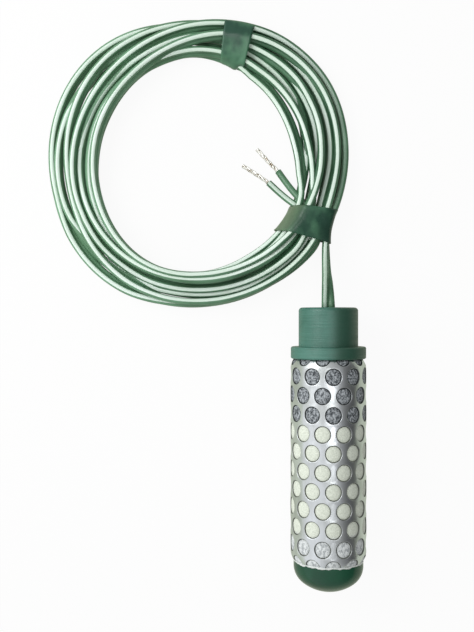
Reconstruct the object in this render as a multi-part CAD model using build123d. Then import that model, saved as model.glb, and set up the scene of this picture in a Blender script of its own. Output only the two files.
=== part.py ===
from build123d import *
import math
import os

# Granular-matrix soil moisture sensor with its coiled twin lead, in millimetres, +Z up.
# The probe lies along Y on the surface z = 0, cable end towards +Y, and the origin is on
# that surface under the middle of the probe.  Each probe piece is made along its own Z
# axis, with z = 0 at mid-length, and is laid down by LAY when it is written.

# ---------------------------------------------------------------- driving dimensions
# Probe lengths, from the cable end to the nose
stub_length = 11.4              # round stub that a riser pipe slides over
collar_height = 3.5             # shoulder between the stub and the shell
shell_length = 58.6             # perforated shell, collar to nose cap
nose_skirt = 1.6                # straight part of the nose cap below the shell
nose_height = 7.45              # domed part of the nose cap
nose_corner_radius = 6.0        # the rest of the dome is one larger arc, tangent to this

# Probe diameters
stub_diameter = 17.3
shell_diameter = 22.22
collar_inset = 0.16             # collar's side inside the shell's
nose_inset = 0.96               # nose cap's side inside the shell's

# Perforated shell: thin stainless tube, both ends rolled in over the caps
shell_wall = 0.45
top_roll_inset = 0.95           # how far the rolled edge comes in at the collar
top_roll_height = 3.0
nose_roll_inset = 0.95
nose_roll_height = 2.7
hole_diameter = 4.76
holes_per_row = 11
row_count = 12
row_pitch = 5.39
first_row_overlap = 0.65        # centre of the first row beyond the shell's edge
row_turn = 1.7                  # a hole of every odd row stands this many degrees off top

# Membrane and what it holds
membrane_thickness = 0.8
membrane_pinch = 0.5            # membrane left between a rolled edge and a cap's neck
top_spigot_length = 8.0         # part of the top cap inside the shell
nose_spigot_length = 4.5        # part of the nose cap inside the shell

# Cap details
stub_edge_radius = 1.0
collar_edge_radius = 0.5
well_clearance = 0.3            # potting well's wall to the outermost crimp
cap_roof_thickness = 5.0        # plastic above the potting well
entry_chamfer = 0.4
nose_socket_depth = 2.5         # recess that the gypsum wafer stands in

# Electrodes, their holder and the gypsum wafer
holder_rim = 2.8                # holder beyond the outer electrode
holder_thickness = 4.0
inner_electrode_diameter = 1.8
inner_electrode_length = 20.0   # below the holder
outer_electrode_diameter = 9.4
outer_electrode_wall = 0.6
outer_electrode_length = 17.0   # below the holder
electrode_groove_depth = 1.5
electrode_hole_diameter = 2.4
electrode_hole_rows = 3
electrode_holes_per_row = 6
tail_diameter = 1.0
tail_root = 0.8                 # tail's start below the ring's top edge
wafer_diameter = 14.0
wafer_thickness = 9.0
wafer_clearance = 0.1

# Twin lead: two round conductors side by side
conductor_diameter = 2.0
entry_clearance = 0.15          # round the lead, in the cap's entry
conductor_gap = 0.3             # between the two conductors inside the cap
core_diameter = 0.9             # stranded copper, tinned
crimp_diameter = 2.6
crimp_length = 5.0
crimp_engagement = 2.0          # core or tail inside each end of a crimp
crimp_standoff = 2.0            # between the holder and the crimps

# Coil of the lead: outside and inside radius at each hour of a clock face, from twelve
coil_centre = (-38.2, 85.9)
coil_height = 7.0
coil_edge_chamfer = 1.4
coil_outer_radii = (42.3, 44.7, 46.1, 45.0, 44.0, 43.8, 44.2, 46.1, 45.9, 45.5, 46.1, 44.6)
coil_inner_radii = (30.8, 29.1, 27.9, 28.5, 31.3, 31.9, 34.0, 34.1, 32.3, 30.3, 29.9, 30.8)

# Tape bands: clock angles, in degrees, where each edge crosses the coil's outside and inside
tape_thickness = 0.4
tape_corner_radius = 0.8
tape_slack = 0.35               # tape spans the coil's bulge between its two edges
upper_tape_edges = ((22.8, 25.0), (10.8, 11.6))
lower_tape_edges = ((110.2, 115.7), (122.6, 131.7))
lead_bulge = 2.9                # lower band stands out this much further where the lead enters

# ---------------------------------------------------------------- stations and radii
probe_length = stub_length + collar_height + shell_length + nose_skirt + nose_height
z_top = probe_length / 2
z_shoulder = z_top - stub_length
z_collar = z_shoulder - collar_height
z_seam = z_collar - shell_length
z_dome = z_seam - nose_skirt
z_spigot = z_collar - top_spigot_length
z_holder = z_spigot - holder_thickness
z_well = z_top - cap_roof_thickness
z_plug = z_seam + nose_spigot_length
z_socket = z_plug - nose_socket_depth

stub_r = stub_diameter / 2
shell_r = shell_diameter / 2
collar_r = shell_r - collar_inset
nose_r = shell_r - nose_inset
electrode_mean_r = (outer_electrode_diameter - outer_electrode_wall) / 2
well_r = electrode_mean_r + crimp_diameter / 2 + well_clearance
holder_r = outer_electrode_diameter / 2 + holder_rim
core_r = shell_r - shell_wall - membrane_thickness
coil_top = coil_height + tape_thickness
conductor_r = conductor_diameter / 2
lead_width = 2 * conductor_diameter

LAY = Location((0, 0, shell_r), (-90, 0, 0))


def disc(radius, low, high):
    """Round bar on the probe's axis between two heights."""
    return Pos(0, 0, low) * Cylinder(radius, high - low, align=(Align.CENTER, Align.CENTER, Align.MIN))


def strip(radius, low, high):
    """Half-section of a round bar: a rectangle from the axis out to radius."""
    return Pos(0, low) * Rectangle(radius, high - low, align=(Align.MIN, Align.MIN))


def outlined(*sides):
    """Face inside a closed run of lines and arcs."""
    return make_face([edge for side in sides for edge in side.edges()])


def spun(section):
    """Solid of revolution about the probe's axis."""
    return revolve(Plane.XZ * section, Axis.Z)


def barrel_section(radius, nose_neck, top_neck):
    """Half-section between seam and collar that curves in to a neck at each end."""
    low = (radius, z_seam + nose_roll_height)
    high = (radius, z_collar - top_roll_height)
    return outlined(
        Line((0, z_seam), (nose_neck, z_seam)),
        TangentArc(low, (nose_neck, z_seam), tangent=(0, -1)),
        Line(low, high),
        TangentArc(high, (top_neck, z_collar), tangent=(0, 1)),
        Line((top_neck, z_collar), (0, z_collar)),
        Line((0, z_collar), (0, z_seam)),
    )


def rolled_neck(inset, height):
    """Inner radius of the shell's rolled edge, its wall being even round the roll."""
    roll_radius = (inset**2 + height**2) / (2 * inset)
    return shell_r - roll_radius + math.sqrt((roll_radius - shell_wall) ** 2 - height**2)


# ---------------------------------------------------------------- perforated shell
nose_mouth_r = rolled_neck(nose_roll_inset, nose_roll_height)
top_mouth_r = rolled_neck(top_roll_inset, top_roll_height)
shell_section = barrel_section(shell_r, shell_r - nose_roll_inset, shell_r - top_roll_inset)
cavity_section = barrel_section(shell_r - shell_wall, nose_mouth_r, top_mouth_r)

hole_pitch_angle = 360 / holes_per_row
z_first_row = z_collar + first_row_overlap
punch_reach = max(top_roll_inset, nose_roll_inset) + 2 * shell_wall
punches = []
for row in range(row_count):
    stagger = 0 if row % 2 else hole_pitch_angle / 2
    punch = Pos(shell_r, 0, z_first_row - row * row_pitch) * Rot(0, 90, 0) * Cylinder(
        hole_diameter / 2, 2 * punch_reach
    )
    for step in range(holes_per_row):
        turn = -90 + row_turn + stagger + step * hole_pitch_angle
        punches.append(Rot(0, 0, turn) * punch)
perforated_shell = spun(shell_section - cavity_section) - punches


# ---------------------------------------------------------------- membrane
core_section = barrel_section(core_r, nose_mouth_r - membrane_pinch, top_mouth_r - membrane_pinch)
membrane_sleeve = spun(cavity_section - core_section)

# ---------------------------------------------------------------- lead inside the top cap
z_crimp = z_spigot + crimp_standoff
z_crimp_top = z_crimp + crimp_length
conductor_pitch = conductor_diameter + conductor_gap


def inner_lead(side, x_end):
    """Conductor from the cap's top face down to its crimp, with its bare end in the crimp."""
    x_start = side * conductor_pitch / 2
    path = FilletPolyline(
        (x_start, 0, z_top),
        (x_start, 0, z_well),
        (x_end, 0, z_crimp_top + 2 * conductor_diameter),
        (x_end, 0, z_crimp_top),
        radius=conductor_diameter,
    )
    jacket = sweep(Plane(path @ 0, z_dir=path % 0) * Circle(conductor_r), path=path)
    core = Pos(x_end, 0, 0) * disc(core_diameter / 2, z_crimp_top - crimp_engagement, z_crimp_top)
    return jacket + core


def crimp(x, tail_radius):
    """Butt crimp, bored from the top for a core and from below for an electrode's tail."""
    body = disc(crimp_diameter / 2, z_crimp, z_crimp_top)
    body -= disc(core_diameter / 2, z_crimp_top - crimp_engagement, z_crimp_top)
    body -= disc(tail_radius, z_crimp, z_crimp + crimp_engagement)
    return Pos(x, 0, 0) * body


inner_lead_plain = inner_lead(1, 0)
inner_lead_striped = inner_lead(-1, -electrode_mean_r)
crimp_plain = crimp(0, inner_electrode_diameter / 2)
crimp_striped = crimp(-electrode_mean_r, tail_diameter / 2)

# ---------------------------------------------------------------- electrodes and holder
inner_electrode = disc(
    inner_electrode_diameter / 2,
    z_holder - inner_electrode_length,
    z_crimp + crimp_engagement,
)

z_ring_top = z_holder + electrode_groove_depth
z_ring_low = z_holder - outer_electrode_length
outer_electrode = disc(outer_electrode_diameter / 2, z_ring_low, z_ring_top)
outer_electrode -= disc(outer_electrode_diameter / 2 - outer_electrode_wall, z_ring_low, z_ring_top)
electrode_row_pitch = outer_electrode_length / electrode_hole_rows
ring_punches = []
for row in range(electrode_hole_rows):
    height = z_ring_low + (row + 0.5) * electrode_row_pitch
    for step in range(electrode_holes_per_row):
        turn = (step + 0.5 * (row % 2)) * 360 / electrode_holes_per_row
        punch = Pos(electrode_mean_r, 0, height) * Rot(0, 90, 0) * Cylinder(
            electrode_hole_diameter / 2, 4 * outer_electrode_wall
        )
        ring_punches.append(Rot(0, 0, turn) * punch)
outer_electrode -= ring_punches
z_tail = z_ring_top - tail_root
tail = Pos(-electrode_mean_r, 0, 0) * disc(tail_diameter / 2, z_tail, z_crimp + crimp_engagement)
outer_electrode += tail

electrodes = [inner_electrode, outer_electrode]
electrode_holder = disc(holder_r, z_holder, z_spigot) - electrodes

# ---------------------------------------------------------------- top cap and its potting
stub = disc(stub_r, z_shoulder, z_top)
stub = fillet(stub.edges().sort_by(Axis.Z)[-1], stub_edge_radius)
collar = disc(collar_r, z_collar, z_shoulder)
collar = fillet(collar.edges().filter_by(GeomType.CIRCLE), collar_edge_radius)
top_cap = stub + collar + spun(core_section & strip(core_r, z_spigot, z_collar))
top_cap -= disc(well_r, z_spigot, z_well)

entry_width = conductor_diameter + 2 * entry_clearance
entry = Pos(0, 0, z_well) * extrude(
    SlotCenterToCenter(conductor_pitch, entry_width),
    cap_roof_thickness,
)
entry_mouth = Pos(0, 0, z_top - entry_chamfer) * extrude(
    SlotCenterToCenter(conductor_pitch, entry_width),
    entry_chamfer,
    taper=-45,
)
top_cap = top_cap - entry - entry_mouth

potted = [inner_lead_plain, inner_lead_striped, crimp_plain, crimp_striped, *electrodes]
potting_plug = disc(well_r, z_spigot, z_well) - potted

# ---------------------------------------------------------------- nose cap, wafer and fill
nose_slope = nose_r - nose_corner_radius
crown_radius = (nose_slope**2 + nose_height**2 - nose_corner_radius**2)
crown_radius /= 2 * (nose_height - nose_corner_radius)
z_crown = z_dome - nose_height + crown_radius
tilt = math.degrees(math.atan2(z_crown - z_dome, nose_slope))
dome_section = outlined(
    Line((0, z_seam), (nose_r, z_seam)),
    Line((nose_r, z_seam), (nose_r, z_dome)),
    CenterArc((nose_slope, z_dome), nose_corner_radius, -tilt, tilt),
    CenterArc((0, z_crown), crown_radius, -90, 90 - tilt),
    Line((0, z_dome - nose_height), (0, z_seam)),
)
plug_section = core_section & strip(core_r, z_seam, z_plug)
socket_section = strip(wafer_diameter / 2 + wafer_clearance, z_socket, z_plug)
bottom_cap = spun(dome_section + plug_section - socket_section)

gypsum_wafer = disc(wafer_diameter / 2, z_socket, z_socket + wafer_thickness)
granular_fill = spun(core_section & strip(core_r, z_plug, z_spigot))
granular_fill -= [gypsum_wafer, electrode_holder, *electrodes]

# ---------------------------------------------------------------- coil and tape bands


def clock_point(radius, degrees):
    """Point at a clock angle round the coil's centre, clockwise from twelve."""
    angle = math.radians(degrees)
    return Vector(coil_centre[0] + radius * math.sin(angle), coil_centre[1] + radius * math.cos(angle))


def clock_loop(radii):
    """Closed curve through one point for each hour."""
    return make_face(Spline([clock_point(r, 30 * hour) for hour, r in enumerate(radii)], periodic=True))


def radius_at(radii, degrees):
    """Radius between two hours, in proportion."""
    hour, part = divmod(degrees / 30, 1)
    return radii[int(hour)] * (1 - part) + radii[int(hour) + 1] * part


def band_block(edges, bulges, inset, corner_radius):
    """Block round the coil between a tape band's two edges, made smaller all round by inset."""
    sections = []
    for (outer_angle, inner_angle), bulge in zip(edges, bulges):
        outer_r = radius_at(coil_outer_radii, outer_angle) + tape_slack + tape_thickness + bulge
        inner_r = radius_at(coil_inner_radii, inner_angle) - tape_thickness
        outer = clock_point(outer_r, outer_angle)
        inner = clock_point(inner_r, inner_angle)
        across = (outer - inner).normalized()
        middle = (outer + inner) / 2 + Vector(0, 0, coil_top / 2)
        plane = Plane(middle, x_dir=across, z_dir=across.cross(Vector(0, 0, 1)))
        width = (outer - inner).length - 2 * inset
        height = coil_top - 2 * inset
        if corner_radius:
            sections.append(plane * RectangleRounded(width, height, corner_radius))
        else:
            sections.append(plane * Rectangle(width, height))
    return loft(sections, ruled=True)


ring = extrude(clock_loop(coil_outer_radii) - clock_loop(coil_inner_radii), coil_height)
ring = chamfer(ring.edges().filter_by(Plane.XY), coil_edge_chamfer)
lower_bulges = (0, lead_bulge)
upper_bundle = band_block(upper_tape_edges, (0, 0), tape_thickness, 0)
lower_bundle = band_block(lower_tape_edges, lower_bulges, tape_thickness, 0)
upper_tape_band = band_block(upper_tape_edges, (0, 0), 0, tape_corner_radius) - upper_bundle
lower_tape_block = band_block(lower_tape_edges, lower_bulges, 0, tape_corner_radius)
lower_tape_band = lower_tape_block - lower_bundle
cable_coil = ring + [upper_bundle, lower_bundle] - [upper_tape_band, lower_tape_band]

# ---------------------------------------------------------------- free stretches of the lead
# A run is straight between two route points, and each bend is as large as its runs allow.


def bend_radii(points):
    """Radius at each inner point: 0.45 of the shorter run over the tangent of half the turn."""
    radii = []
    for before, here, after in zip(points, points[1:], points[2:]):
        run_in = Vector(*here) - Vector(*before)
        run_out = Vector(*after) - Vector(*here)
        half_turn = math.radians(run_in.get_angle(run_out)) / 2
        radii.append(0.45 * min(run_in.length, run_out.length) / math.tan(half_turn))
    return radii


def tube(name, points, diameter):
    """Round tube along straight runs joined by tangent arcs; prints its radii and volume."""
    radii = bend_radii(points)
    path = FilletPolyline(*points, radius=radii) if radii else Line(*points)
    body = sweep(Plane(path @ 0, z_dir=path % 0) * Circle(diameter / 2), path=path)
    ratio = body.volume / (math.pi * diameter**2 / 4 * path.length)
    print(name, "length", round(path.length, 2), "radii", [round(r, 2) for r in radii])
    print(name, "volume over section times length", round(ratio, 4))
    return body


# From inside the cap's entry down to the lower tape band, cut off square at both
lead_points = [
    (0, z_top - 1.0, shell_r + 0.2),
    (0, z_top + 6.4, shell_r - 1.1),
    (-0.1, z_top + 12.8, shell_r - 5.4),
    (-0.1, z_top + 21.5, shell_r - 8.4),
]
lead_cable = tube("lead_cable", lead_points, lead_width)
lead_cable -= [LAY * disc(stub_r, z_shoulder, z_top), lower_tape_block, cable_coil]
lead_cable = lead_cable.solids().sort_by(Axis.Y)[0]

# Split legs from the coil beside the lower tape band to the stripped ends
leg_routes = {
    "leg_plain": [(-3.6, 69.2, 5.2), (-6.8, 72.8, 4.8), (-10.8, 77.4, 3.0), (-14.2, 82.7, 1.4)],
    "leg_striped": [(-5.4, 69.0, 5.2), (-9.0, 71.9, 4.6), (-13.1, 75.2, 2.8), (-17.0, 79.2, 1.4)],
}
tip_routes = {
    "tinned_end_plain": [(-14.2, 82.7, 1.4), (-17.4, 85.9, 1.0), (-20.6, 89.6, 0.6)],
    "tinned_end_striped": [(-17.0, 79.2, 1.4), (-20.8, 81.9, 1.0), (-25.0, 84.6, 0.6)],
}
legs = {}
for name, points in leg_routes.items():
    leg = tube(name, points, conductor_diameter) - [cable_coil, lower_tape_block]
    legs[name] = leg.solids().sort_by(Axis.Y)[-1]
tips = {}
for (name, points), leg in zip(tip_routes.items(), legs.values()):
    tips[name] = tube(name, points, core_diameter) - leg

# ---------------------------------------------------------------- writing
probe_pieces = {
    "top_cap": top_cap,
    "bottom_cap": bottom_cap,
    "perforated_shell": perforated_shell,
    "membrane_sleeve": membrane_sleeve,
    "granular_fill": granular_fill,
    "gypsum_wafer": gypsum_wafer,
    "electrode_holder": electrode_holder,
    "inner_electrode": inner_electrode,
    "outer_electrode": outer_electrode,
    "inner_lead_plain": inner_lead_plain,
    "inner_lead_striped": inner_lead_striped,
    "crimp_plain": crimp_plain,
    "crimp_striped": crimp_striped,
    "potting_plug": potting_plug,
}
lead_pieces = {
    "lead_cable": lead_cable,
    "cable_coil": cable_coil,
    "upper_tape_band": upper_tape_band,
    "lower_tape_band": lower_tape_band,
    **legs,
    **tips,
}
os.makedirs("parts", exist_ok=True)
for name, piece in probe_pieces.items():
    export_step(LAY * piece, f"parts/{name}.step")
for name, piece in lead_pieces.items():
    export_step(piece, f"parts/{name}.step")
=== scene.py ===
import math
import bpy
import numpy as np
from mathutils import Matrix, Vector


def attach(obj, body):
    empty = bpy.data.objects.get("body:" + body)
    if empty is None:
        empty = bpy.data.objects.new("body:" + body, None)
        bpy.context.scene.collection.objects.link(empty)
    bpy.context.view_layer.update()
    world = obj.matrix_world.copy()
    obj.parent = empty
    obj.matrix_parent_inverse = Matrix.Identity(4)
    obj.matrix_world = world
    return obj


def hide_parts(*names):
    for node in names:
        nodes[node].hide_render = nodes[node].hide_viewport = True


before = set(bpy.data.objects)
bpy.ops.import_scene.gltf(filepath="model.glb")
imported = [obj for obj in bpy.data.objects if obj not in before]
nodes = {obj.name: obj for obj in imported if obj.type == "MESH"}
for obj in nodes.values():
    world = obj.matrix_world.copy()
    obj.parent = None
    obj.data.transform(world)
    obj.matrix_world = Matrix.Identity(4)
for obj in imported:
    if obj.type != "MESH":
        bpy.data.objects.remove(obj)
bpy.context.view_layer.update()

# ------------------------------------------------------------------ table, light and camera
# A plain pale table under the part, a broad soft lamp up and to the left and a weaker one to
# the right. The camera looks straight down on the table, the probe's cable end upwards.


class Wire:
    """A socket of a shader tree. Arithmetic on it adds Math nodes."""

    def __init__(self, finish, socket):
        self.finish = finish
        self.socket = socket

    def math(self, operation, *terms):
        inputs = dict(enumerate(terms))
        return self.finish.add("ShaderNodeMath", {"operation": operation}, inputs)

    def __add__(self, other):
        return self.math("ADD", self, other)

    def __sub__(self, other):
        return self.math("SUBTRACT", self, other)

    def __rsub__(self, other):
        return self.math("SUBTRACT", other, self)

    def __mul__(self, other):
        return self.math("MULTIPLY", self, other)

    def rise(self, low, high, bottom=0.0, top=1.0):
        """Smooth step from bottom to top as this value goes from low to high."""
        inputs = {"Value": self, "From Min": low, "From Max": high, "To Min": bottom, "To Max": top}
        return self.finish.add("ShaderNodeMapRange", {"interpolation_type": "SMOOTHSTEP"}, inputs)

    def mix(self, start, end):
        """Colour that goes from start to end as this value goes from 0 to 1."""
        inputs = {0: self, 6: start, 7: end}
        return self.finish.add("ShaderNodeMix", {"data_type": "RGBA"}, inputs, 2)


class Finish:
    """The shader tree of a new material, or of the world, under construction."""

    def __init__(self, name, world=None):
        self.material = world or bpy.data.materials.new(name)
        self.material.use_nodes = True
        self.tree = self.material.node_tree
        self.tree.nodes.clear()

    def add(self, kind, settings={}, inputs={}, output=0):
        """Any node: its settings first, then the values or wires of its sockets."""
        node = self.tree.nodes.new(kind)
        for key, value in settings.items():
            setattr(node, key, value)
        for key, value in inputs.items():
            if isinstance(value, Wire):
                self.tree.links.new(value.socket, node.inputs[key])
            else:
                node.inputs[key].default_value = value
        return Wire(self, node.outputs[output]) if node.outputs else None

    def place(self, scale=(1.0, 1.0, 1.0)):
        """Object coordinates, stretched by scale."""
        coordinates = self.add("ShaderNodeTexCoord", output="Object")
        return self.add("ShaderNodeMapping", {}, {"Vector": coordinates, "Scale": scale})

    def noise(self, scale, detail=2.0, roughness=0.5, place=None):
        """Noise from 0 to 1, scale lumps to a metre."""
        inputs = {"Vector": place or self.place(), "Scale": scale, "Detail": detail}
        return self.add("ShaderNodeTexNoise", {}, {**inputs, "Roughness": roughness})

    def attribute(self, name):
        return self.add("ShaderNodeAttribute", {"attribute_name": name}, output="Fac")

    def bump(self, height, distance, strength=1.0):
        inputs = {"Height": height, "Distance": distance, "Strength": strength}
        return self.add("ShaderNodeBump", {}, inputs)

    def surface(self, **sockets):
        """Ends the material in one Principled BSDF; give_color=... sets its socket Give Color."""
        inputs = {}
        for name, value in sockets.items():
            inputs[name.replace("_", " ").title().replace("Ior", "IOR")] = value
        shader = self.add("ShaderNodeBsdfPrincipled", {}, inputs)
        self.add("ShaderNodeOutputMaterial", {}, {"Surface": shader})
        return self.material


scene = bpy.context.scene
scene.view_settings.view_transform = "Standard"

camera_height = 0.2596
camera_data = bpy.data.cameras.new("camera")
camera_data.lens = 48.4
camera_data.sensor_width = 36.0
camera_data.clip_start = 0.01
camera = bpy.data.objects.new("camera", camera_data)
camera.location = (-0.0267, 0.0388, camera_height)
scene.collection.objects.link(camera)
scene.camera = camera

# Bright towards the left, dark low on the right, and plain white where the camera looks at it
scene.world = bpy.data.worlds.new("studio")
studio = Finish("studio", scene.world)
way = studio.add("ShaderNodeTexCoord", output="Generated")
sideways = studio.add("ShaderNodeSeparateXYZ", {}, {"Vector": way}, "X")
level = sideways.rise(-0.7, 0.2, 0.88, 0.50) * sideways.rise(0.1, 0.95, 1.0, 0.15)
backdrop = studio.add("ShaderNodeLightPath", output="Is Camera Ray")
glow = {"Color": (1.0, 1.0, 1.0, 1.0), "Strength": level * (1 - backdrop) + backdrop}
studio.add("ShaderNodeOutputWorld", {}, {"Surface": studio.add("ShaderNodeBackground", {}, glow)})


def lamp(name, place, target, size, power):
    data = bpy.data.lights.new(name, "AREA")
    data.shape = "DISK"
    data.size = size
    data.energy = power
    light = bpy.data.objects.new(name, data)
    light.location = place
    aim = (light.location - Vector(target)).to_track_quat("Z", "Y")
    light.rotation_euler = aim.to_euler()
    scene.collection.objects.link(light)


lamp("left_window", (-0.20, 0.13, 0.18), (-0.03, 0.05, 0.0), 0.18, 0.30)
lamp("overhead", (0.04, 0.02, 0.55), (0.0, 0.02, 0.0), 0.22, 0.35)

table_finish = Finish("table")
seen = table_finish.add("ShaderNodeLightPath", output="Is Camera Ray")
glossy = table_finish.add("ShaderNodeLightPath", output="Is Glossy Ray")
matt = table_finish.add("ShaderNodeBsdfDiffuse", {}, {"Color": (0.86, 0.86, 0.85, 1.0)})
plain = seen.mix((0.60, 0.64, 0.51, 1.0), (1.0, 1.0, 1.0, 1.0))
white = table_finish.add("ShaderNodeEmission", {}, {"Color": plain, "Strength": 1.0})
blend = table_finish.add("ShaderNodeMixShader", {}, {0: (seen + glossy) * 0.93, 1: matt, 2: white})
table_finish.add("ShaderNodeOutputMaterial", {}, {"Surface": blend})
table_mesh = bpy.data.meshes.new("table")
reach = 3.0
corners = [(-reach, -reach, 0), (reach, -reach, 0), (reach, reach, 0), (-reach, reach, 0)]
table_mesh.from_pydata(corners, [], [(0, 1, 2, 3)])
table_mesh.materials.append(table_finish.material)
table = bpy.data.objects.new("table", table_mesh)
scene.collection.objects.link(table)

# ------------------------------------------------------------------ twin lead
# Two round PVC conductors side by side, one green and one green with a pale stripe, 4 mm
# across.  The lead leaves the cap flat, turns on edge, runs eight times round the coil and
# ends in the lower tape band, where the two conductors part.
mm = 0.001
coil_centre = (-38.2, 85.9)
conductor_radius = 1.0
stretch_from_cap = ((0, 40.275, 11.31), (0, 47.675, 10.01), (-0.1, 54.075, 5.71), (-0.1, 62.775, 4.6))
# Each turn, from the lower tape band and against the clock: clock angle and radius of the lead
turns = (
    ((111, 43.1), (90, 43.8), (80, 44.2), (60, 45.1), (36, 43.8), (24, 41.9), (10, 40.2), (0, 39.4),
     (350, 38.5), (340, 37.9), (320, 37.1), (299, 36.9), (269, 37.6), (239, 38.4), (225, 38.75),
     (210, 38.8), (195, 38.8), (180, 38.85), (150, 39.0), (135, 39.25), (126, 39.5)),
    ((111, 35.8), (101, 35.1), (91, 33.6), (81, 33.0), (71, 32.9), (51, 32.6), (27, 32.3), (0, 32.6),
     (350, 32.3), (340, 31.8), (299, 32.1), (279, 32.3), (267, 32.8), (254, 33.5), (239, 34.6),
     (209, 35.3), (180, 35.4), (150, 35.0), (131, 34.3)),
    ((106, 32.2), (91, 30.3), (81, 29.7), (65, 29.6), (50, 30.0), (30, 30.6), (20, 31.1), (0, 33.2),
     (330, 32.6), (300, 31.2), (270, 31.5), (240, 33.5), (210, 35.3), (180, 35.0), (165, 33.8),
     (150, 32.8), (132, 32.8)),
    ((105, 31.9), (90, 32.1), (82, 32.4), (72, 33.4), (62, 34.2), (45, 34.5), (28, 35.0), (0, 36.5),
     (330, 38.3), (300, 41.3), (280, 42.1), (259, 42.4), (239, 42.4), (225, 41.95), (215, 41.5),
     (203, 40.9), (192, 40.6), (152, 41.0), (125, 41.1)),
    ((111, 38.2), (90, 39.2), (70, 40.4), (55, 40.7), (39, 40.3), (20, 39.9), (0, 40.1), (340, 40.6),
     (320, 40.9), (309, 40.6), (289, 40.0), (269, 39.5), (252, 39.4), (239, 40.4), (229, 41.2),
     (209, 42.6), (190, 43.0), (155, 42.7), (126, 42.7)),
    ((111, 40.5), (91, 41.3), (81, 41.9), (61, 42.7), (41, 41.4), (31, 40.3), (24, 39.3), (10, 37.2),
     (0, 35.6), (350, 34.2), (340, 32.8), (319, 31.0), (299, 30.7), (283, 30.9), (268, 31.2),
     (248, 32.1), (228, 33.7), (208, 35.3), (195, 35.4), (180, 35.0), (165, 34.8), (150, 34.8),
     (135, 35.2), (127, 35.6)),
    ((112, 35.7), (92, 36.2), (81, 37.2), (70, 37.7), (58, 37.8), (46, 37.6), (25, 36.8), (0, 36.8),
     (355, 36.8), (340, 35.3), (325, 35.2), (300, 35.1), (269, 35.7), (249, 36.0), (224, 36.4),
     (195, 36.6), (150, 36.6), (135, 37.0), (126, 37.4)),
    ((110, 34.6), (99, 35.1), (88, 35.4), (70, 36.2), (56, 36.5), (30, 37.6), (0, 39.2), (345, 41.2),
     (330, 43.1), (320, 44.0), (310, 44.4), (300, 44.6), (280, 44.4), (253, 43.9), (240, 44.6),
     (222, 45.1), (210, 44.8), (193, 44.0), (180, 43.3), (150, 42.8), (125, 42.9)),
)
lying_order = (8, 4, 3, 2, 5, 7, 1, 6)      # turns from the table upwards
step = 3.0                                  # degrees between the stations worked out
first_angle = 117.0                         # clock angle where the lead joins the coil
rest_height = 2.02                          # lead's axis above the table, on edge
nest_width = 2.2                            # two turns side by side
nest_height = 2.3                           # one turn straight over another, sunk into it
radius_smoothing = 5.0                      # degrees
height_smoothing = 8.0
crest = 3                                   # stations by which a lift reaches each way
# Where the seventh turn rides up over its neighbours, by place along the coil
ridden_up = ((2295, 0.0), (2320, 1.3), (2388, 1.3), (2403, 0.0))


def evened(values, degrees):
    """Values at the stations of the coil, smoothed over that many degrees."""
    spread = degrees / step
    reach = int(4 * spread)
    weights = np.exp(-0.5 * (np.arange(-reach, reach + 1) / spread) ** 2)
    return np.convolve(np.pad(values, reach, mode="edge"), weights / weights.sum(), "valid")


swept = []
swept_radius = []
for number, turn in enumerate(turns):
    for angle, radius in turn:
        swept.append(360.0 * (number + (angle > first_angle + 1)) - angle)
        swept_radius.append(radius)
travel = np.arange(-first_angle, 360.0 * len(turns) - first_angle, step)
radii = evened(np.interp(travel, swept, swept_radius), radius_smoothing).reshape(len(turns), -1)
heights = np.zeros_like(radii)
laid = []
for number in lying_order:
    turn = number - 1
    height = np.full(radii.shape[1], rest_height)
    for below in laid:
        apart = np.clip(np.abs(radii[turn] - radii[below]) / nest_width, 0.0, 1.0)
        lifted = np.where(apart < 1.0, heights[below] + nest_height * np.sqrt(1.0 - apart**2), 0.0)
        height = np.maximum(height, lifted)
    around = np.pad(height, crest, mode="wrap")
    shifted = [around[start:start + len(height)] for start in range(2 * crest + 1)]
    highest = np.max(shifted, axis=0)
    heights[turn] = evened(np.tile(highest, 3), height_smoothing)[len(height):2 * len(height)]
    laid.append(turn)
radii = radii.ravel()
heights = evened(heights.ravel(), height_smoothing) + np.interp(travel, *zip(*ridden_up))

point_every = 4                             # stations from one point of the line to the next
inside_points = math.cos(math.radians(point_every * step / 2))      # a smooth line cuts its corners
coil_points = []
for place in range(0, len(travel), point_every):
    angle = math.radians(-travel[place])
    x = coil_centre[0] + radii[place] / inside_points * math.sin(angle)
    y = coil_centre[1] + radii[place] / inside_points * math.cos(angle)
    coil_points.append((x, y, heights[place]))

under_lower_tape = ((-3.0, 62.4, 5.2), (-3.5, 65.4, 5.4), (-4.4, 68.6, 5.3))
route = (*stretch_from_cap, *coil_points, *under_lower_tape)


def spline_points(name, points, resolution):
    """Points in metres along the smooth NURBS line through the millimetre route."""
    curve = bpy.data.curves.new(name, "CURVE")
    curve.dimensions = "3D"
    curve.resolution_u = resolution
    spline = curve.splines.new("NURBS")
    spline.points.add(len(points) - 1)
    for point, place in zip(spline.points, points):
        point.co = (*(mm * value for value in place), 1.0)
    spline.order_u = 3
    spline.use_endpoint_u = True
    carrier = bpy.data.objects.new(name, curve)
    scene.collection.objects.link(carrier)
    line = bpy.data.meshes.new_from_object(carrier)
    places = np.array([vertex.co for vertex in line.vertices])
    bpy.data.objects.remove(carrier)
    bpy.data.curves.remove(curve)
    bpy.data.meshes.remove(line)
    return places


def along(places):
    """Distance of each point from the first, following the line."""
    return np.concatenate(([0.0], np.cumsum(np.linalg.norm(np.diff(places, axis=0), axis=1))))


def unit(vectors):
    return vectors / np.linalg.norm(vectors, axis=1, keepdims=True)


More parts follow.
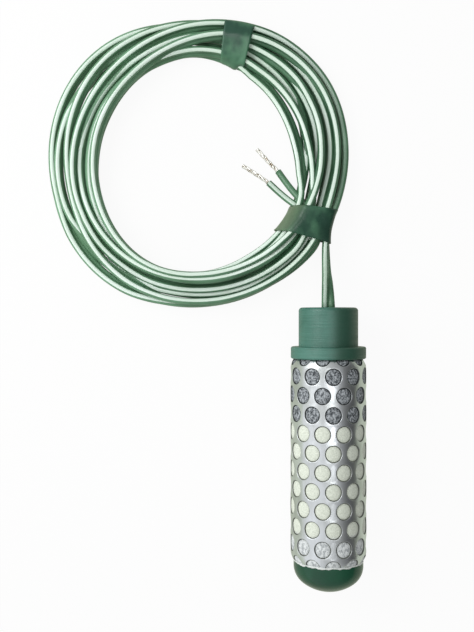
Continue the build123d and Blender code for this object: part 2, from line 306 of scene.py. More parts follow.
def swept_mesh(name, places, first_axis, outline, tags):
    """Closed mesh of an outline carried along a line.

    first_axis points along the outline's first coordinate at each place. tags are attributes
    that vary round the outline, along the line or both."""
    tangents = unit(np.gradient(places, axis=0))
    first = unit(first_axis - tangents * np.sum(first_axis * tangents, axis=1, keepdims=True))
    second = np.cross(tangents, first)
    count = len(outline)
    rings = places[:, None, :] + first[:, None, :] * outline[None, :, :1]
    rings = rings + second[:, None, :] * outline[None, :, 1:]
    faces = []
    for ring in range(len(places) - 1):
        start = ring * count
        for here in range(count):
            after = (here + 1) % count
            faces.append((start + here, start + after, start + after + count, start + here + count))
    faces.append(tuple(reversed(range(count))))
    faces.append(tuple(range((len(places) - 1) * count, len(places) * count)))
    mesh = bpy.data.meshes.new(name)
    mesh.from_pydata(rings.reshape(-1, 3).tolist(), [], faces)
    for tag, values in tags.items():
        values = np.broadcast_to(values, (len(places), count)).ravel()
        mesh.attributes.new(tag, "FLOAT", "POINT").data.foreach_set("value", values)
    mesh.polygons.foreach_set("use_smooth", [True] * len(mesh.polygons))
    piece = bpy.data.objects.new(name, mesh)
    scene.collection.objects.link(piece)
    return piece


lead_places = spline_points("lead_route", route, 5)
lead_distance = along(lead_places)

# Lean of the lead from on edge, in degrees to the right of its way, which is outwards on the
# coil: by clock angle round the coil, with the stretches that are rolled over by their place
# along the coil, and by distance in mm where it twists up from lying flat in the cap.
lead_leans = ((0, 20), (90, 20), (135, 0), (180, -5), (210, 5), (240, 10), (270, 12), (315, 20),
              (360, 20))
rolled_over = ((116, 0), (130, 24), (226, 30), (240, 0), (250, 0), (256, -22), (325, -22), (335, 0),
               (610, 0), (622, -65), (688, -65), (702, 0), (1190, 0), (1205, -35), (1230, -35),
               (1242, 0), (2064, 0), (2074, -20), (2098, -20), (2108, 0), (2625, 0), (2640, 28),
               (2672, 28), (2685, 0))
twisting_up = ((0, -90), (1, -88), (4, -67), (12, -30), (22, -11))
lean_between_legs = -84

# The stripe faces its own way from upright: by clock angle, with the stretches where it is
# turned further by their place along the coil. It is drawn fainter near the cap, and painted
# shade dims it on the first turn from clock angle 112 to 20, where that turn lies in shadow.
stripe_leans = ((0, -25), (60, -24), (90, -15), (135, -25), (180, -30), (210, -5), (270, -10),
                (300, -8), (330, -18), (360, -25))
stripe_turned = ((145, 0), (160, 30), (228, 30), (240, 0), (395, 0), (410, -16), (470, -16), (485, 0),
                 (991, 0), (996, -80), (1014, -80), (1022, 0), (1090, 0), (1105, -90),
                 (1135, -90), (1150, 0), (1195, 0), (1207, -60), (1230, -60), (1242, 30),
                 (1280, 30), (1290, 0), (1955, 0), (1975, 16), (2012, 16), (2025, 0), (2195, 0),
                 (2207, -45), (2230, -45), (2245, 0))
stripe_lean_at_cap = -5
stripe_strength_and_shade = ((-141, 0.45), (-130, 0.75), (-122, 0.95), (-112, 0.12), (-76, 0.14), (-58, 0.5),
                    (-40, 0.85), (-20, 1.0))

forward = unit(np.gradient(lead_places, axis=0))
rightwards = unit(np.cross(forward, (0.0, 0.0, 1.0)))
upwards = np.cross(rightwards, forward)
from_centre = lead_places[:, :2] / mm - coil_centre
clock_angle = np.degrees(np.unwrap(np.arctan2(from_centre[:, 0], from_centre[:, 1])))
from_cap = lead_distance / mm
from_end = from_cap[-1] - from_cap
on_coil = np.interp(from_cap, (20, 32), (0, 1))
lean = np.interp(clock_angle % 360, *zip(*lead_leans))
lean = lean + np.interp(-clock_angle, *zip(*rolled_over))
lean = lean * on_coil + np.interp(from_cap, *zip(*twisting_up)) * (1 - on_coil)
lean += (lean_between_legs - lean) * np.interp(from_end, (4, 26), (1, 0))
stripe_lean = np.interp(clock_angle % 360, *zip(*stripe_leans))
stripe_lean = stripe_lean + np.interp(-clock_angle, *zip(*stripe_turned))
stripe_lean = stripe_lean * on_coil + stripe_lean_at_cap * (1 - on_coil)
stripe_turn = np.radians(stripe_lean - lean)[:, None]
lean = np.radians(lean)[:, None]
ways = upwards * np.cos(lean) + rightwards * np.sin(lean)
shaded_stripe_strength = np.interp(-clock_angle, *zip(*stripe_strength_and_shade))[:, None]

neck = math.radians(27)
lobe = np.linspace(-math.pi + neck, math.pi - neck, 14)
striped_side = np.stack([1.0 + np.cos(lobe), np.sin(lobe)], axis=1)
green_side = np.stack([-1.0 - np.cos(lobe), -np.sin(lobe)], axis=1)
twin_outline = np.concatenate([striped_side, green_side]) * conductor_radius * mm
facing = np.pad(np.cos(lobe - stripe_turn), ((0, 0), (0, 14)), constant_values=-1.0)
tags = {"stripe_facing": facing, "stripe_strength_and_shade": shaded_stripe_strength}
twin_lead = swept_mesh("twin_lead", lead_places, ways, twin_outline, tags)

vinyl = Finish("lead_vinyl")
facing_stripe = vinyl.attribute("stripe_facing")
wander = vinyl.noise(120.0, 1.0) * 0.12 - 0.06
# The stripe's strength attribute dims it towards the green: painted shade on the first turn, and a
# fainter stripe near the cap and on the legs.
stripe = (facing_stripe + wander).rise(0.80, 0.88) * vinyl.attribute("stripe_strength_and_shade")
lengthways = vinyl.noise(90.0, 3.0)
# Painted light: the green is drawn paler over the left part of the coil, where the lamp on the left
# lights it most.
base_green = lengthways.rise(0.3, 0.7).mix((0.055, 0.150, 0.078, 1.0), (0.110, 0.245, 0.140, 1.0))
painted_lit_green = lengthways.rise(0.3, 0.7).mix((0.115, 0.250, 0.135, 1.0), (0.170, 0.350, 0.210, 1.0))
painted_light_left = vinyl.add("ShaderNodeSeparateXYZ", {}, {"Vector": vinyl.place()}, "X").rise(-0.02, -0.07)
green = painted_light_left.mix(base_green, painted_lit_green)
pale = vinyl.noise(40.0, 2.0).rise(0.3, 0.7).mix((0.68, 0.84, 0.71, 1.0), (0.82, 0.95, 0.87, 1.0))
fine_grain = vinyl.bump(vinyl.noise(1800.0, 2.0), 0.00003, 0.4)
vinyl.surface(
    base_color=stripe.mix(green, pale),
    roughness=stripe.rise(0, 1, 0.34, 0.42),
    normal=fine_grain,
)
twin_lead.data.materials.append(vinyl.material)
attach(twin_lead, "root")
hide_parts("lead_cable", "cable_coil")

# ------------------------------------------------------------------ split legs
# The two conductors beyond the lower tape band, pulled apart over some 17 mm, the green one
# above.  Each is the same 2 mm vinyl as in the lead, cut off square where the copper starts.
leg_routes = {
    "plain_leg": (
        (-3.2, 66.9, 5.0), (-3.6, 69.2, 5.2), (-6.8, 72.8, 4.8), (-10.8, 77.4, 3.0), (-14.2, 82.7, 1.4),
    ),
    "striped_leg": (
        (-4.9, 66.8, 5.2), (-5.4, 69.0, 5.2), (-9.0, 71.9, 4.6), (-13.1, 75.2, 2.8), (-17.0, 79.2, 1.4),
    ),
}
turnround = np.linspace(-math.pi, math.pi, 17)[:-1]
round_outline = np.stack([np.cos(turnround), np.sin(turnround)], axis=1)
for name, points in leg_routes.items():
    places = spline_points(name + "_route", points, 8)
    upward = np.tile((0.0, 0.0, 1.0), (len(places), 1))
    facing = np.cos(turnround) if name == "striped_leg" else np.full(16, -1.0)
    tags = {"stripe_facing": facing, "stripe_strength_and_shade": 0.7}
    leg = swept_mesh(name, places, upward, round_outline * conductor_radius * mm, tags)
    leg.data.materials.append(vinyl.material)
    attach(leg, "root")
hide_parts("leg_plain")
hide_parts("leg_striped")

# ------------------------------------------------------------------ tinned ends
# Bare ends of the two conductors: tinned copper strands in three bunches, twisted together and
# a little bent by hand.
strand_radius = 0.29
strand_turn = 6.5       # length of one twist
core_routes = {
    "tinned_core_plain": (
        (-13.9, 82.3, 1.5), (-14.2, 82.7, 1.4), (-17.4, 85.9, 1.0), (-20.6, 89.6, 0.6),
    ),
    "tinned_core_striped": (
        (-16.6, 78.9, 1.5), (-17.0, 79.2, 1.4), (-20.8, 81.9, 1.0), (-25.0, 84.6, 0.6),
    ),
}


class Tree:
    """A Geometry Nodes tree under construction, with one geometry in and one out."""

    def __init__(self, name):
        self.tree = bpy.data.node_groups.new(name, "GeometryNodeTree")
        self.tree.interface.new_socket("Geometry", in_out="OUTPUT", socket_type="NodeSocketGeometry")
        self.tree.interface.new_socket("Geometry", in_out="INPUT", socket_type="NodeSocketGeometry")
        self.entry = self.tree.nodes.new("NodeGroupInput")
        self.identifiers = {}

    def size(self, name, value):
        """Named number that the modifier sets."""
        socket = self.tree.interface.new_socket(name, in_out="INPUT", socket_type="NodeSocketFloat")
        self.identifiers[socket.identifier] = value
        return self.entry.outputs[name]

    def add(self, kind, settings={}, inputs={}, output=0):
        node = self.tree.nodes.new(kind)
        for key, value in settings.items():
            setattr(node, key, value)
        for key, value in inputs.items():
            if isinstance(value, bpy.types.NodeSocket):
                self.tree.links.new(value, node.inputs[key])
            else:
                node.inputs[key].default_value = value
        return node.outputs[output]

    def math(self, operation, *terms):
        return self.add("ShaderNodeMath", {"operation": operation}, dict(enumerate(terms)))

    def vector(self, operation, *terms):
        return self.add("ShaderNodeVectorMath", {"operation": operation}, dict(enumerate(terms)))

    def scaled(self, vector, factor):
        return self.add("ShaderNodeVectorMath", {"operation": "SCALE"}, {0: vector, "Scale": factor})

    def close(self, geometry):
        """Ends the tree in plain geometry with the material that the modifier sets."""
        interface = self.tree.interface
        socket = interface.new_socket("Material", in_out="INPUT", socket_type="NodeSocketMaterial")
        self.material_identifier = socket.identifier
        real = self.add("GeometryNodeRealizeInstances", {}, {"Geometry": geometry})
        wires = {"Geometry": real, "Material": self.entry.outputs["Material"]}
        dressed = self.add("GeometryNodeSetMaterial", {}, wires)
        way_out = self.tree.nodes.new("NodeGroupOutput")
        self.tree.links.new(dressed, way_out.inputs[0])

    def piece(self, name, carrier, material):
        """Plain mesh object that the tree makes of a carrier object."""
        modifier = carrier.modifiers.new("shape", "NODES")
        modifier.node_group = self.tree
        for identifier, value in self.identifiers.items():
            modifier[identifier] = value
        modifier[self.material_identifier] = material
        bpy.context.view_layer.update()
        graph = bpy.context.evaluated_depsgraph_get()
        mesh = bpy.data.meshes.new_from_object(carrier.evaluated_get(graph), depsgraph=graph)
        bpy.data.objects.remove(carrier)
        made = bpy.data.objects.new(name, mesh)
        mesh.name = name
        scene.collection.objects.link(made)
        return made


tin = Finish("tinned_copper")
tarnish = tin.noise(1500.0, 3.0)
tin.surface(
    base_color=tarnish.rise(0.50, 0.62).mix((0.95, 0.94, 0.90, 1.0), (0.34, 0.27, 0.18, 1.0)),
    metallic=0.8,
    roughness=tarnish.rise(0.2, 0.8, 0.35, 0.5),
)

for name, points in core_routes.items():
    places = spline_points(name + "_route", points, 24)
    carrier_mesh = bpy.data.meshes.new(name + "_line")
    carrier_mesh.from_pydata(places.tolist(), [(i, i + 1) for i in range(len(places) - 1)], [])
    carrier = bpy.data.objects.new(name + "_line", carrier_mesh)
    scene.collection.objects.link(carrier)
    twist = Tree(name + "_twist")
    radius = twist.size("Strand radius", strand_radius * mm)
    pitch = twist.size("Twist length", strand_turn * mm)
    line = twist.add("GeometryNodeMeshToCurve", {}, {"Mesh": twist.entry.outputs["Geometry"]})
    distance = twist.add("GeometryNodeSplineParameter", output="Length")
    turned = twist.math("MULTIPLY", twist.math("DIVIDE", distance, pitch), 2 * math.pi)
    tangent = twist.add("GeometryNodeInputTangent")
    upright = twist.vector("NORMALIZE", twist.vector("CROSS_PRODUCT", tangent, (0.0, 0.0, 1.0)))
    sideways = twist.vector("CROSS_PRODUCT", tangent, upright)
    strands = twist.add("GeometryNodeJoinGeometry")
    join = strands.node
    for strand in range(3):
        angle = twist.math("ADD", turned, strand * math.pi / 1.5)
        lean = twist.scaled(upright, twist.math("COSINE", angle))
        rise = twist.scaled(sideways, twist.math("SINE", angle))
        reach_out = twist.scaled(twist.vector("ADD", lean, rise), twist.math("MULTIPLY", radius, 1.12))
        moved = twist.add("GeometryNodeSetPosition", {}, {"Geometry": line, "Offset": reach_out})
        twist.tree.links.new(moved, join.inputs[0])
    ring = twist.add("GeometryNodeCurvePrimitiveCircle", {}, {"Resolution": 12, "Radius": radius})
    wires = {"Curve": strands, "Profile Curve": ring, "Fill Caps": True}
    twist.close(twist.add("GeometryNodeCurveToMesh", {}, wires))
    core = twist.piece(name, carrier, tin.material)
    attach(core, "root")
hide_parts("tinned_end_plain")
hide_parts("tinned_end_striped")

# ------------------------------------------------------------------ tape bands
# Green PVC tape wound tight round the whole bundle of turns, so its outline is that of a
# string pulled round them.  The lower band also holds the lead's two ends.
tape_thickness = 0.3
# Clock angle and radius of each band's corners: inner and outer end of its two edges
band_corners = {
    "upper_band": (((12.5, 30.0), (10.9, 43.0)), ((26.4, 30.5), (22.9, 44.0))),
    "lower_band": (((117.0, 31.0), (110.4, 44.5)), ((132.6, 31.5), (122.8, 47.0))),
}
# Turns nearer than this to the inner corner are left out of the wrap, at its two edges
left_out = {"upper_band": (-4.0, 1.2), "lower_band": (-4.0, -4.0)}
# Painted shade and sheen: each band is drawn darker towards one side and paler, tan-green, towards the
# other, by this strength; the lower band darkens outwards and the upper band, weakly, inwards.
shade_and_sheen_strength = {"upper_band": -0.15, "lower_band": 1.0}       # how much the tape has darkened outwards
bundle_reach = 22.0             # furthest turn of the bundle from the inner corner
lead_half_width = 1.05          # room that a turn takes inside the tape
lead_half_height = 2.0
lead_mm = lead_places / mm
bearings = np.linspace(-math.pi, math.pi, 73)[:-1]
bearing_ways = np.stack([np.cos(bearings), np.sin(bearings)], axis=1)


def on_table(angle, radius):
    """Place on the table by clock angle and radius from the coil's centre."""
    turned = math.radians(angle)
    across = radius * math.sin(turned)
    upwards = radius * math.cos(turned)
    return np.array((coil_centre[0] + across, coil_centre[1] + upwards))


def wrapped_section(inner, outer, nearest):
    """Loop pulled tight round the turns where they cross the upright plane from inner to outer."""
    across = (outer - inner) / np.linalg.norm(outer - inner)
    ahead = np.array((-across[1], across[0]))
    side = (lead_mm[:, :2] - inner) @ ahead
    span = (lead_mm[:, :2] - inner) @ across
    met = np.where((side[:-1] * side[1:] <= 0) & (span[:-1] > nearest) & (span[:-1] < bundle_reach))[0]
    spots = []
    for here in met:
        for way in bearing_ways[::4]:
            height = lead_mm[here, 2] + lead_half_height * way[1]
            spots.append((span[here] + lead_half_width * way[0], max(0.2, height)))
    spots = np.array(spots)
    furthest = spots[np.argmax(bearing_ways @ spots.T, axis=1)]
    loop = furthest + bearing_ways * tape_thickness
    closed = np.concatenate([loop, loop[:1]])
    distance = along(closed)
    even = np.linspace(0.0, distance[-1], 97)[:-1]
    section = np.stack([np.interp(even, distance, closed[:, part]) for part in (0, 1)], axis=1)
    for _ in range(6):
        section = (np.roll(section, 1, axis=0) + 2 * section + np.roll(section, -1, axis=0)) / 4
    section[:, 1] = np.maximum(section[:, 1], 0.18)
    flat = inner + across * section[:, :1]
    return np.concatenate([flat, section[:, 1:]], axis=1)


def thicken(sheet, thickness, side):
    """Gives a sheet a closed wall: side -1 puts it all behind the faces, 0 half on each side."""
    skin = sheet.modifiers.new("thickness", "SOLIDIFY")
    skin.thickness = thickness * mm
    skin.offset = side


pvc = Finish("tape_vinyl")
patches = pvc.noise(110.0, 3.0)
stretch_lines = pvc.noise(240.0, 2.0, place=pvc.place((1.0, 0.35, 1.0)))
cloudy = (patches * 0.6 + stretch_lines * 0.4).rise(0.40, 0.60)
pvc_colour = cloudy.mix((0.020, 0.078, 0.048, 1.0), (0.078, 0.215, 0.120, 1.0))
# Painted shade and sheen: above zero the tape is drawn near-black green as shade, below zero tan-green as
# a sheen from the lamp on the left.
shade_and_sheen = pvc.attribute("shade_and_sheen")
pvc_colour = shade_and_sheen.rise(0.05, 0.50, 0.0, 0.8).mix(pvc_colour, (0.010, 0.040, 0.028, 1.0))
pvc_colour = (0 - shade_and_sheen).rise(0.05, 0.45, 0.0, 0.8).mix(pvc_colour, (0.135, 0.195, 0.110, 1.0))
pvc_bump = pvc.bump(patches * 0.6 + stretch_lines * 0.5 + pvc.noise(900.0, 2.0) * 0.1, 0.0007, 0.6)
pvc.surface(base_color=pvc_colour, roughness=patches.rise(0.2, 0.8, 0.26, 0.42), normal=pvc_bump)

for name, (first_edge, second_edge) in band_corners.items():
    rings = []
    for share in np.linspace(0.0, 1.0, 15):
        ends = []
        for start, finish in zip(first_edge, second_edge):
            ends.append(on_table(*(np.array(start) * (1 - share) + np.array(finish) * share)))
        rings.append(wrapped_section(*ends, np.interp(share, (0.4, 0.8), left_out[name])))
    rings = np.array(rings)
    for _ in range(2):
        rings[1:-1] = (rings[:-2] + 2 * rings[1:-1] + rings[2:]) / 4
    count = rings.shape[1]
    faces = []
    for ring in range(len(rings) - 1):
        for here in range(count):
            after = (here + 1) % count
            faces.append((ring * count + here, ring * count + after,
                          (ring + 1) * count + after, (ring + 1) * count + here))
    mesh = bpy.data.meshes.new(name)
    mesh.from_pydata((rings.reshape(-1, 3) * mm).tolist(), [], faces)
    mesh.polygons.foreach_set("use_smooth", [True] * len(mesh.polygons))
    from_centre = np.linalg.norm(rings.reshape(-1, 3)[:, :2] - coil_centre, axis=1)
    shade_and_sheen = np.interp(from_centre, (31.0, 46.0), (-0.45, 0.55)) * shade_and_sheen_strength[name]
    mesh.attributes.new("shade_and_sheen", "FLOAT", "POINT").data.foreach_set("value", shade_and_sheen)
    mesh.materials.append(pvc.material)
    band = bpy.data.objects.new(name, mesh)
    scene.collection.objects.link(band)
    thicken(band, tape_thickness, 0.0)
    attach(band, "root")
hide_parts("upper_tape_band")
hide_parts("lower_tape_band")

# ------------------------------------------------------------------ top cap
# Green ABS stub and collar, turned, with fine marks round the stub.  A riser pipe slides over
# the stub and stops at the collar.
top_abs = Finish("top_cap_abs")
lathe = top_abs.noise(30.0, 3.0, place=top_abs.place((2.0, 90.0, 2.0)))
clouding = top_abs.noise(120.0, 2.0)
turned_marks = (lathe * 0.5 + clouding * 0.5).rise(0.3, 0.7)
cap_green = turned_marks.mix((0.036, 0.140, 0.103, 1.0), (0.074, 0.220, 0.172, 1.0))
# Painted shade: the cap is drawn darker towards its +x side, away from the lamp on the left.
across_cap = top_abs.add("ShaderNodeSeparateXYZ", {}, {"Vector": top_abs.place()}, "X")
painted_shade_side = across_cap.rise(-0.002, 0.003)
cap_green = painted_shade_side.mix(cap_green, (0.026, 0.092, 0.060, 1.0))
cap_bump = top_abs.bump(lathe, 0.0002, 0.5)
cap_gloss = lathe.rise(0.3, 0.7, 0.38, 0.50)
top_abs.surface(base_color=cap_green, roughness=cap_gloss, normal=cap_bump, specular_ior_level=0.6)


def dress(node, material):
    """Gives a CAD node one material."""
    nodes[node].data.materials.clear()
    nodes[node].data.materials.append(material)


dress("top_cap", top_abs.material)

# ------------------------------------------------------------------ nose cap
# Dark green moulded ABS dome, glossy, with its plug inside the shell.
nose_abs = Finish("nose_cap_abs")
streaks = nose_abs.noise(70.0, 3.0)
nose_green = streaks.rise(0.3, 0.7).mix((0.005, 0.046, 0.024, 1.0), (0.014, 0.088, 0.046, 1.0))
nose_bump = nose_abs.bump(nose_abs.noise(500.0, 2.0), 0.0001, 0.3)
nose_gloss = streaks.rise(0.3, 0.7, 0.14, 0.24)
nose_abs.surface(base_color=nose_green, roughness=nose_gloss, normal=nose_bump, specular_ior_level=0.4)
dress("bottom_cap", nose_abs.material)

# ------------------------------------------------------------------ perforated shell
# Thin stainless tube, punched and rolled in at both ends over the caps.  One cell of the
# sheet, with its hole's rounded lip and wall, is laid out in a grid and rolled up.
shell_radius = 11.11
shell_top = 26.375          # where the shell meets the collar, along the probe
shell_foot = -32.225        # where it meets the nose cap
top_roll = (0.95, 3.0)      # how far in the rolled edge comes, over what height
foot_roll = (0.95, 2.7)
shell_skin = 0.12
holes_around = 11
hole_rows = 12
row_pitch = 5.39
first_row = shell_top + 0.65        # under the edge of the collar
row_turn = 1.7              # degrees by which the holes of every odd row stand off top
cell_width = 2 * math.pi * shell_radius / holes_around

edge_across = np.linspace(-0.5, 0.5, 13)[:-1] * cell_width
edge_along = np.linspace(-0.5, 0.5, 11)[:-1] * row_pitch
half_width = np.full(len(edge_along), cell_width / 2)
half_pitch = np.full(len(edge_across), row_pitch / 2)
cell_edge = np.concatenate([
    np.stack([edge_across, -half_pitch], axis=1),
    np.stack([half_width, edge_along], axis=1),
    np.stack([-edge_across, half_pitch], axis=1),
    np.stack([-half_width, -edge_along], axis=1),
])
ray = unit(cell_edge)


def ring_mesh(name, rings):
    """Open mesh between closed rings of points, each with as many points as the next."""
    count = len(rings[0])
    faces = []
    for ring in range(len(rings) - 1):
        for here in range(count):
            after = (here + 1) % count
            faces.append((ring * count + here, (ring + 1) * count + here,
                          (ring + 1) * count + after, ring * count + after))
    mesh = bpy.data.meshes.new(name)
    mesh.from_pydata((np.concatenate(rings) * mm).tolist(), [], faces)
    mesh.polygons.foreach_set("use_smooth", [True] * len(faces))
    piece = bpy.data.objects.new(name, mesh)
    scene.collection.objects.link(piece)
    return piece


def hole_rings(profile):
    """Rings round the middle of a cell, by radius and height above the sheet."""
    return [np.column_stack([ray * radius, np.full(len(ray), height)]) for radius, height in profile]


wall_and_lip = hole_rings(((2.17, -0.34), (2.43, -0.06), (2.47, 0.01), (2.57, 0.02)))
cell = ring_mesh("shell_cell", [*wall_and_lip, np.column_stack([cell_edge, np.zeros(len(ray))])])
wall_share = np.repeat((1.0, 1.0, 0.0, 0.0, 0.0), len(ray))
cell.data.attributes.new("hole_wall", "FLOAT", "POINT").data.foreach_set("value", wall_share)

roll = Tree("shell_roll")
radius = roll.size("Shell radius", shell_radius * mm)
width = roll.size("Cell width", cell_width * mm)
pitch = roll.size("Row pitch", row_pitch * mm)
first = roll.size("First row", first_row * mm)
top = roll.size("Top edge", shell_top * mm)
foot = roll.size("Foot edge", shell_foot * mm)
turn = roll.size("Row turn", math.radians(row_turn))
size_across = roll.math("MULTIPLY", width, holes_around - 1.0)
size_along = roll.math("MULTIPLY", pitch, hole_rows - 1.0)
sizes = {"Size X": size_across, "Size Y": size_along, "Vertices X": holes_around, "Vertices Y": hole_rows}
sheet = roll.add("GeometryNodeMeshGrid", {}, sizes)
spot = roll.add("GeometryNodeInputPosition")
spot_x = roll.add("ShaderNodeSeparateXYZ", {}, {0: spot}, "X")
spot_y = roll.add("ShaderNodeSeparateXYZ", {}, {0: spot}, "Y")
spot_z = roll.add("ShaderNodeSeparateXYZ", {}, {0: spot}, "Z")
below_first = roll.math("SUBTRACT", roll.math("MULTIPLY", size_along, 0.5), spot_y)
row = roll.math("ROUND", roll.math("DIVIDE", below_first, pitch))
even = roll.math("SUBTRACT", 1.0, roll.math("MODULO", row, 2.0))
stagger = roll.math("MULTIPLY", roll.math("MULTIPLY", even, 0.5), width)
across = roll.math("ADD", roll.math("ADD", spot_x, stagger), roll.math("MULTIPLY", turn, radius))
lengthways = roll.math("SUBTRACT", first, below_first)
hole_spot = roll.add("ShaderNodeCombineXYZ", {}, {"X": across, "Y": lengthways})
spots = roll.add("GeometryNodeSetPosition", {}, {"Geometry": sheet, "Position": hole_spot})
wires = {"Points": spots, "Instance": roll.entry.outputs["Geometry"]}
cells = roll.add("GeometryNodeInstanceOnPoints", {}, wires)
flat = roll.add("GeometryNodeRealizeInstances", {}, {"Geometry": cells})
off_top = roll.math("GREATER_THAN", spot_y, top)
off_foot = roll.math("LESS_THAN", spot_y, foot)
off_sheet = roll.math("ADD", off_top, off_foot)
wires = {"Geometry": flat, "Selection": off_sheet}
trimmed = roll.add("GeometryNodeDeleteGeometry", {"domain": "FACE"}, wires)
held = roll.math("MAXIMUM", foot, roll.math("MINIMUM", top, spot_y))


def rolled_in(distance, inset, height):
    """How far the rolled edge has come in at a distance beyond the straight part."""
    bend = (inset**2 + height**2) / (2 * inset) * mm
    reach = roll.math("MAXIMUM", roll.math("ADD", distance, height * mm), 0.0)
    level_part = roll.math("SQRT", roll.math("SUBTRACT", bend**2, roll.math("MULTIPLY", reach, reach)))
    return roll.math("SUBTRACT", bend, level_part)


come_in_at_top = rolled_in(roll.math("SUBTRACT", held, top), *top_roll)
come_in_at_foot = rolled_in(roll.math("SUBTRACT", foot, held), *foot_roll)
come_in = roll.math("ADD", come_in_at_top, come_in_at_foot)
dent = roll.add("ShaderNodeTexNoise", {}, {"Vector": spot, "Scale": 160.0, "Detail": 1.0})
dented = roll.math("MULTIPLY", roll.math("SUBTRACT", dent, 1.15), 0.00016)
out = roll.math("SUBTRACT", roll.math("ADD", radius, roll.math("ADD", spot_z, dented)), come_in)
round_by = roll.math("DIVIDE", spot_x, radius)
rolled_x = roll.math("MULTIPLY", out, roll.math("SINE", round_by))
rolled_z = roll.math("ADD", radius, roll.math("MULTIPLY", out, roll.math("COSINE", round_by)))
rolled_spot = roll.add("ShaderNodeCombineXYZ", {}, {"X": rolled_x, "Y": held, "Z": rolled_z})
tube = roll.add("GeometryNodeSetPosition", {}, {"Geometry": trimmed, "Position": rolled_spot})
merged = roll.add("GeometryNodeMergeByDistance", {}, {"Geometry": tube, "Distance": 0.00001})
roll.close(roll.add("GeometryNodeSetShadeSmooth", {}, {"Geometry": merged}))

steel = Finish("shell_steel")
along_axis = steel.add("ShaderNodeSeparateXYZ", {}, {"Vector": steel.place()}, "Y")
brushed = steel.noise(60.0, 4.0, place=steel.place((12.0, 1.0, 12.0)))
stain = steel.noise(130.0, 3.0)
worn = (stain * 0.6 + brushed * 0.4).rise(0.3, 0.7)
sheet_colour = worn.mix((0.79, 0.83, 0.87, 1.0), (0.56, 0.59, 0.59, 1.0))
# Painted shade: the hole walls are drawn dark and less metallic, as walls in shadow, and darker still
# towards the cable end.
wall_painted_shade = along_axis.rise(0.004, 0.010).mix((0.13, 0.14, 0.12, 1.0), (0.03, 0.035, 0.035, 1.0))
wall_part = steel.attribute("hole_wall")
steel.surface(
    base_color=wall_part.mix(sheet_colour, wall_painted_shade),
    metallic=wall_part.rise(0, 1, 1.0, 0.3),
    roughness=(brushed * 0.5 + stain * 0.5).rise(0.3, 0.7, 0.26, 0.38),
    normal=steel.bump(brushed, 0.00003, 0.2),
)
punched_shell = roll.piece("punched_shell", cell, steel.material)
thicken(punched_shell, shell_skin, -1.0)
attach(punched_shell, "root")
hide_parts("perforated_shell")

# ------------------------------------------------------------------ membrane sleeve
# Fine non-woven sleeve that bulges a little into every hole: damp and grey towards the cable,
# dry and cream below, with its folded film edge showing at the nose cap.
felt = Finish("membrane_felt")
lengthwise = felt.add("ShaderNodeSeparateXYZ", {}, {"Vector": felt.place()}, "Y")
speckle = felt.noise(2200.0, 4.0, 0.75)
clouds = felt.noise(260.0, 3.0)
creases = felt.noise(1300.0, 3.0, 0.65, place=felt.place((1.2, 0.7, 1.2)))
damp = (lengthwise + clouds * 0.002).rise(0.0088, 0.0098)
filmy = (clouds * 0.004 - lengthwise).rise(0.0245, 0.0265)
dry_colour = speckle.rise(0.3, 0.7).mix((0.62, 0.67, 0.57, 1.0), (0.86, 0.91, 0.80, 1.0))
film_colour = creases.rise(0.40, 0.56).mix((0.42, 0.45, 0.46, 1.0), (0.78, 0.82, 0.82, 1.0))
mottle = speckle * 0.6 + creases * 0.4
damp_colour = mottle.rise(0.42, 0.60).mix((0.030, 0.038, 0.046, 1.0), (0.50, 0.54, 0.57, 1.0))
below_colour = filmy.mix(dry_colour, film_colour)
felt_bump = felt.bump(speckle * 0.4 + creases * (damp * 0.6 + filmy * 0.8 + 0.2), 0.0003, 0.6)
felt.surface(base_color=damp.mix(below_colour, damp_colour), roughness=0.75, normal=felt_bump)
dress("membrane_sleeve", felt.material)

pillow_rings = hole_rings(((0.0, -0.15), (0.9, -0.16), (1.6, -0.20), (2.15, -0.27), (2.4, -0.47)))
pillow = ring_mesh("pillow_cell", pillow_rings)
pillows = roll.piece("membrane_pillows", pillow, felt.material)
thicken(pillows, shell_skin, -1.0)
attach(pillows, "root")

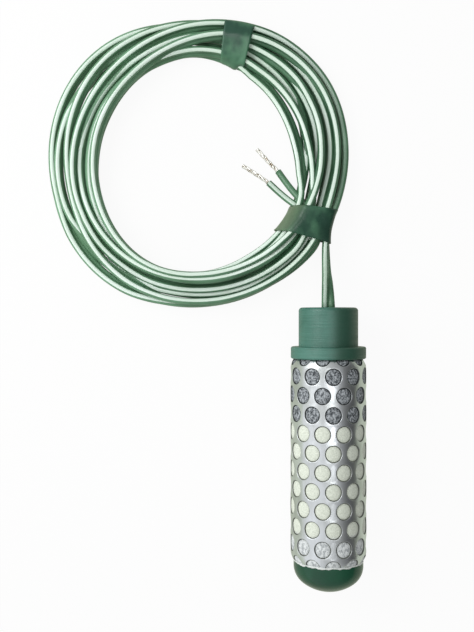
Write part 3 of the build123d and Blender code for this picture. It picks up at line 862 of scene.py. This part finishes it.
hem_turn = np.linspace(0.0, 2 * math.pi, 181)[:-1]
wave = 0.10 * np.sin(9 * hem_turn + 1.0) + 0.08 * np.sin(23 * hem_turn)
wave = wave + 0.05 * np.sin(41 * hem_turn + 2.0)
hem_rings = []
for forth, out in ((0.35, 10.12), (0.12, 10.27), (-0.12, 10.24), (-0.25, 10.14)):
    reach_out = out + 0.05 * np.sin(17 * hem_turn + 5 * forth)
    along_probe = shell_foot + forth + wave * (0.35 - forth) / 0.6
    ring = (reach_out * np.sin(hem_turn), along_probe, shell_radius + reach_out * np.cos(hem_turn))
    hem_rings.append(np.stack(ring, axis=1))
hem = ring_mesh("membrane_hem", hem_rings)
film = Finish("membrane_film")
film_wave = film.noise(900.0, 2.0)
film.surface(
    base_color=film_wave.mix((0.55, 0.60, 0.58, 1.0), (0.92, 0.94, 0.92, 1.0)),
    roughness=film_wave.rise(0.3, 0.7, 0.25, 0.45),
    normal=film.bump(film_wave, 0.0002, 0.5),
)
hem.data.materials.append(film.material)
thicken(hem, 0.05, -1.0)
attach(hem, "root")

# ------------------------------------------------------------------ inner parts
# Fill, gypsum wafer, electrodes with their holder, leads, crimps and potting: all closed in.
inner_finishes = {
    "granular_fill": ("fill_grains", (0.50, 0.47, 0.41), (0.72, 0.70, 0.64), 1500.0, 0.9, 0.0),
    "gypsum_wafer": ("gypsum", (0.78, 0.77, 0.73), (0.90, 0.89, 0.86), 700.0, 0.85, 0.0),
    "electrode_holder": ("holder_plastic", (0.60, 0.59, 0.55), (0.72, 0.71, 0.67), 300.0, 0.5, 0.0),
    "inner_electrode": ("rod_steel", (0.48, 0.48, 0.47), (0.66, 0.66, 0.65), 900.0, 0.3, 1.0),
    "outer_electrode": ("ring_steel", (0.48, 0.48, 0.47), (0.66, 0.66, 0.65), 900.0, 0.3, 1.0),
    "inner_lead_plain": ("plain_vinyl", (0.045, 0.15, 0.075), (0.085, 0.235, 0.13), 400.0, 0.4, 0.0),
    "inner_lead_striped": ("pale_vinyl", (0.40, 0.60, 0.44), (0.62, 0.80, 0.66), 400.0, 0.4, 0.0),
    "crimp_plain": ("crimp_tin_a", (0.50, 0.50, 0.48), (0.70, 0.70, 0.68), 800.0, 0.35, 1.0),
    "crimp_striped": ("crimp_tin_b", (0.50, 0.50, 0.48), (0.70, 0.70, 0.68), 800.0, 0.35, 1.0),
    "potting_plug": ("potting_resin", (0.012, 0.012, 0.013), (0.03, 0.03, 0.032), 300.0, 0.3, 0.0),
}
for node, (name, low, high, scale, roughness, metal) in inner_finishes.items():
    inner = Finish(name)
    grain = inner.noise(scale, 3.0)
    inner.surface(
        base_color=grain.mix((*low, 1.0), (*high, 1.0)),
        metallic=metal,
        roughness=grain.rise(0.2, 0.8, roughness - 0.08, roughness + 0.08),
        normal=inner.bump(grain, 0.0002, 0.4),
    )
    dress(node, inner.material)
